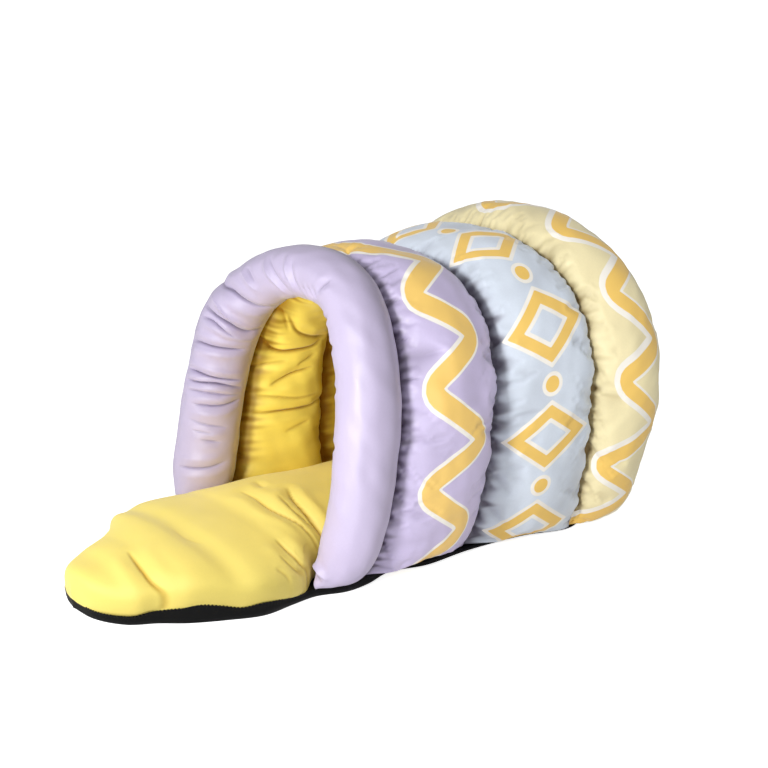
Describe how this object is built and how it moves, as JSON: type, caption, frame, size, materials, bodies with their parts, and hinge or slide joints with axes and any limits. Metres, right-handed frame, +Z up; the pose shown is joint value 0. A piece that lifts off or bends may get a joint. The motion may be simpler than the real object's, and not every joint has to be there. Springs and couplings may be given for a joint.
{
  "type": "dog cave bed",
  "caption": "Stuffed cloth cave bed in the form of an egg on its side: puffed bands with zigzag trim, a padded roll round the open mouth and a mat that runs out as a lobed tongue.",
  "frame": {"origin": "on the floor under the middle of the mouth", "axes": "+Y from the mouth to the closed end, +X to the right of someone who looks in, +Z up"},
  "size_m": [0.4086, 0.692, 0.3486],
  "materials": {
    "underside_cloth": "matt black non-slip cloth",
    "mat_cloth": "brushed yellow cloth",
    "roll_cloth": "smooth lilac cloth with a soft sheen",
    "lilac_cloth": "smooth printed cloth with a soft sheen",
    "blue_cloth": "smooth printed cloth with a soft sheen",
    "cream_cloth": "smooth printed cloth with a soft sheen",
    "lining_cloth": "brushed yellow cloth"
  },
  "bodies": {
    "root": {"underside": "underside_cloth", "mat": "mat_cloth", "mouth_roll": "roll_cloth", "band_lilac": "lilac_cloth", "band_blue": "blue_cloth", "band_cream": "cream_cloth", "end_panel": "cream_cloth", "lining_lilac": "lining_cloth", "lining_blue": "lining_cloth", "lining_cream": "lining_cloth", "end_lining": "lining_cloth"}
  },
  "joints": []
}
